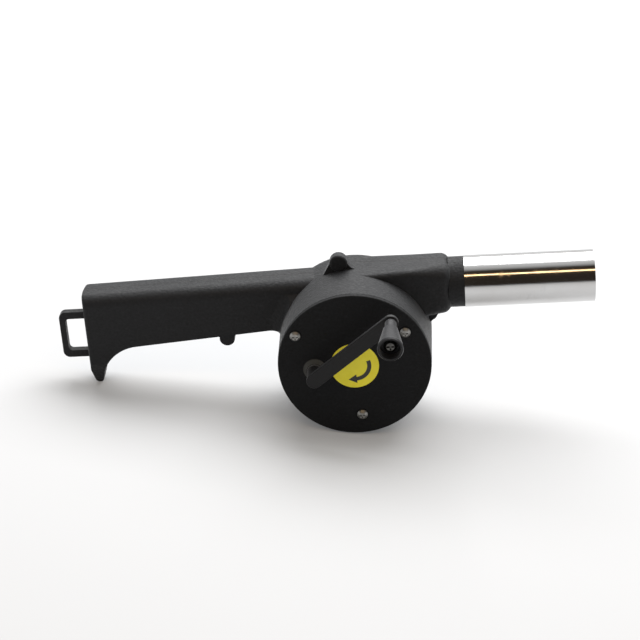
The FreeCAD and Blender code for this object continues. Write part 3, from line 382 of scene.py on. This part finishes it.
def turned_metal(name, colour, pale, rough, scratch_depth):
    """Plated or ground metal: tiny scratches, cloudy shine and slightly duller patches."""
    material, tree, shader, place = start_finish(name)
    patches = cloud(tree, place, 420, 5)
    scratches = cloud(tree, place, 1500, 5, (1, 0.15, 1))
    tone = two_colours(tree, across(tree, patches, 0, 1), colour, pale)
    tree.links.new(tone, shader.inputs["Base Color"])
    tree.links.new(across(tree, patches, rough + 0.08, rough - 0.06), shader.inputs["Roughness"])
    tree.links.new(relief(tree, scratches, scratch_depth), shader.inputs["Normal"])
    shader.inputs["Metallic"].default_value = 1.0
    return material


def label_paper():
    """Matt yellow label: printed colour with a faint mottle, faded patches and paper tooth."""
    material, tree, shader, place = start_finish("label_yellow")
    mottle = cloud(tree, place, 240, 6)
    tooth = cloud(tree, place, 3200, 4)
    fade = spread(tree, cloud(tree, place, 60, 3), 0.35, 0.7, 0, 1)
    yellow, pale_yellow, faded_yellow = (0.82, 0.70, 0.028), (0.88, 0.76, 0.045), (0.88, 0.78, 0.09)
    printed = two_colours(tree, across(tree, mottle, 0, 1), yellow, pale_yellow)
    faded = two_colours(tree, part_of(tree, fade, 0.35), printed, faded_yellow)
    tree.links.new(faded, shader.inputs["Base Color"])
    tree.links.new(across(tree, mottle, 0.55, 0.68), shader.inputs["Roughness"])
    tree.links.new(relief(tree, tooth, 0.000015), shader.inputs["Normal"])
    shader.inputs["Specular IOR Level"].default_value = 0.35
    return material


def printing_ink():
    """Black printing ink on the label, a little broken where the paper shows through."""
    material, tree, shader, place = start_finish("printing_ink")
    tooth = cloud(tree, place, 3200, 4)
    broken = spread(tree, cloud(tree, place, 1400, 5), 0.60, 0.72, 0, 1)
    ink, pale_ink, paper_showing = (0.013, 0.013, 0.012), (0.024, 0.024, 0.020), (0.13, 0.12, 0.03)
    printed = two_colours(tree, across(tree, tooth, 0, 1), ink, pale_ink)
    worn = two_colours(tree, part_of(tree, broken, 0.5), printed, paper_showing)
    tree.links.new(worn, shader.inputs["Base Color"])
    tree.links.new(across(tree, tooth, 0.42, 0.56), shader.inputs["Roughness"])
    tree.links.new(relief(tree, tooth, 0.000012), shader.inputs["Normal"])
    return material


# Dressing the blower


def label_arrow():
    """A plain bent arrow, printed on the label, shows which way the crank turns."""
    low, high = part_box("label")
    middle = Vector(((low[0] + high[0]) / 2, low[1], (low[2] + high[2]) / 2))
    radius = (high[0] - low[0]) / 2
    bend_radius = 0.60 * radius
    half_line = 0.085 * radius
    head_radius = 0.23 * radius
    film = 0.00003
    tail_angle, head_angle = math.radians(28), math.radians(-78)

    def spot(distance, angle):
        return middle + Vector((distance * math.cos(angle), 0, distance * math.sin(angle)))

    shape = bmesh.new()
    inner = shape.verts.new(spot(bend_radius - half_line, tail_angle))
    outer = shape.verts.new(spot(bend_radius + half_line, tail_angle))
    start = shape.edges.new((inner, outer))
    bmesh.ops.spin(
        shape,
        geom=[inner, outer, start],
        cent=middle,
        axis=(0, -1, 0),
        angle=head_angle - tail_angle,
        steps=36,
    )

    bend_end = spot(bend_radius, head_angle)
    along = (bend_end - spot(bend_radius, head_angle + 0.001)).normalized()
    head = bmesh.ops.create_circle(shape, cap_ends=True, radius=head_radius, segments=3)["verts"]
    bmesh.ops.transform(shape, matrix=Matrix.Rotation(math.radians(90), 4, "X"), verts=head)
    point = max(head, key=lambda vert: vert.co.z).co.normalized()
    turn = point.rotation_difference(along).to_matrix().to_4x4()
    bmesh.ops.transform(shape, matrix=turn, verts=head)
    bmesh.ops.translate(shape, vec=bend_end + along * head_radius * 0.45, verts=head)

    top = bmesh.ops.extrude_face_region(shape, geom=list(shape.faces))["geom"]
    lifted = [part for part in top if isinstance(part, bmesh.types.BMVert)]
    bmesh.ops.translate(shape, vec=(0, -film, 0), verts=lifted)
    bmesh.ops.translate(shape, vec=(0, film / 3, 0), verts=shape.verts)
    bmesh.ops.recalc_face_normals(shape, faces=shape.faces)
    arrow = new_object("label_arrow", new_mesh("label_arrow", shape))
    arrow.data.materials.append(printing_ink())
    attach(arrow, "housing")


def dress_nodes(frame):
    """Every CAD node gets its finish."""
    black = (0.0085, 0.0088, 0.0098)
    pale_black = (0.0130, 0.0135, 0.0150)
    deep_black = (0.0050, 0.0052, 0.0052)
    shells = moulded_plastic(
        "shell_black", black, pale_black, rough=0.69, grain_depth=0.00028, grains=800, seam=True
    )
    # The cover carries a painted highlight ring on the slope of the crank's hub.
    cover = moulded_plastic(
        "cover_black", deep_black, black, rough=0.71, grain_depth=0.00022, grains=900,
        gloss=0.14, bloom=0.06, painted_hub_highlight=True,
    )
    crank = moulded_plastic(
        "crank_black", (0.0060, 0.0060, 0.0065), (0.010, 0.010, 0.011),
        rough=0.58, grain_depth=0.00005,
    )
    washer = moulded_plastic(
        "washer_black", (0.075, 0.075, 0.074), (0.10, 0.10, 0.10),
        rough=0.40, grain_depth=0.00003, gloss=0.5,
    )
    knob = moulded_plastic(
        "knob_black", (0.0085, 0.0085, 0.0095), (0.015, 0.015, 0.017),
        rough=0.50, grain_depth=0.00004, bloom=0.26,
    )
    blades = moulded_plastic(
        "impeller_grey", (0.030, 0.031, 0.033), (0.046, 0.047, 0.050),
        rough=0.46, grain_depth=0.00003,
    )
    gears = moulded_plastic(
        "gear_ivory", (0.60, 0.57, 0.50), (0.68, 0.65, 0.58), rough=0.42, grain_depth=0.00002
    )
    nickel = turned_metal(
        "nickel_plate", (0.21, 0.205, 0.195), (0.31, 0.305, 0.29),
        rough=0.34, scratch_depth=0.000010,
    )
    dark_nickel = turned_metal(
        "dark_nickel", (0.075, 0.073, 0.070), (0.12, 0.118, 0.112),
        rough=0.38, scratch_depth=0.000010,
    )
    ground = turned_metal(
        "ground_steel", (0.50, 0.50, 0.50), (0.60, 0.60, 0.60),
        rough=0.24, scratch_depth=0.000008,
    )
    brass = turned_metal(
        "bush_brass", (0.62, 0.47, 0.22), (0.72, 0.56, 0.30), rough=0.30, scratch_depth=0.000012
    )
    finish_of = {
        "front_shell": shells,
        "back_shell": shells,
        "gear_cover": cover,
        "crank_arm": crank,
        "crank_washer": washer,
        "knob": knob,
        "outlet_tube": drawn_steel(),
        "label": label_paper(),
        "cover_screws": nickel,
        "shell_screws": nickel,
        "knob_screw": dark_nickel,
        "crank_shaft": ground,
        "impeller_shaft": ground,
        "compound_pin": ground,
        "crank_bush": brass,
        "impeller_bush": brass,
        "crank_gear": gears,
        "compound_gear": gears,
        "impeller_gear": gears,
        "impeller": blades,
    }
    for name, piece in frame["nodes"].items():
        for slot in piece.material_slots:
            slot.material = finish_of[name]


bpy.context.scene.view_settings.view_transform = "Standard"
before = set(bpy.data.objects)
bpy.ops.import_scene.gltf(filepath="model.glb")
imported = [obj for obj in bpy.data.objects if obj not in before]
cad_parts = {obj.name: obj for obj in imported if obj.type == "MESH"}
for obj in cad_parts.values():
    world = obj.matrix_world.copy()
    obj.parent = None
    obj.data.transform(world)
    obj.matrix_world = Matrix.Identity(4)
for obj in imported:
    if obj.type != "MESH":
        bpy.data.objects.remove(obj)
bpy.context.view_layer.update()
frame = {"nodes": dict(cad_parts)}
set_camera()
white_table()
light_studio()
dress_nodes(frame)
label_arrow()
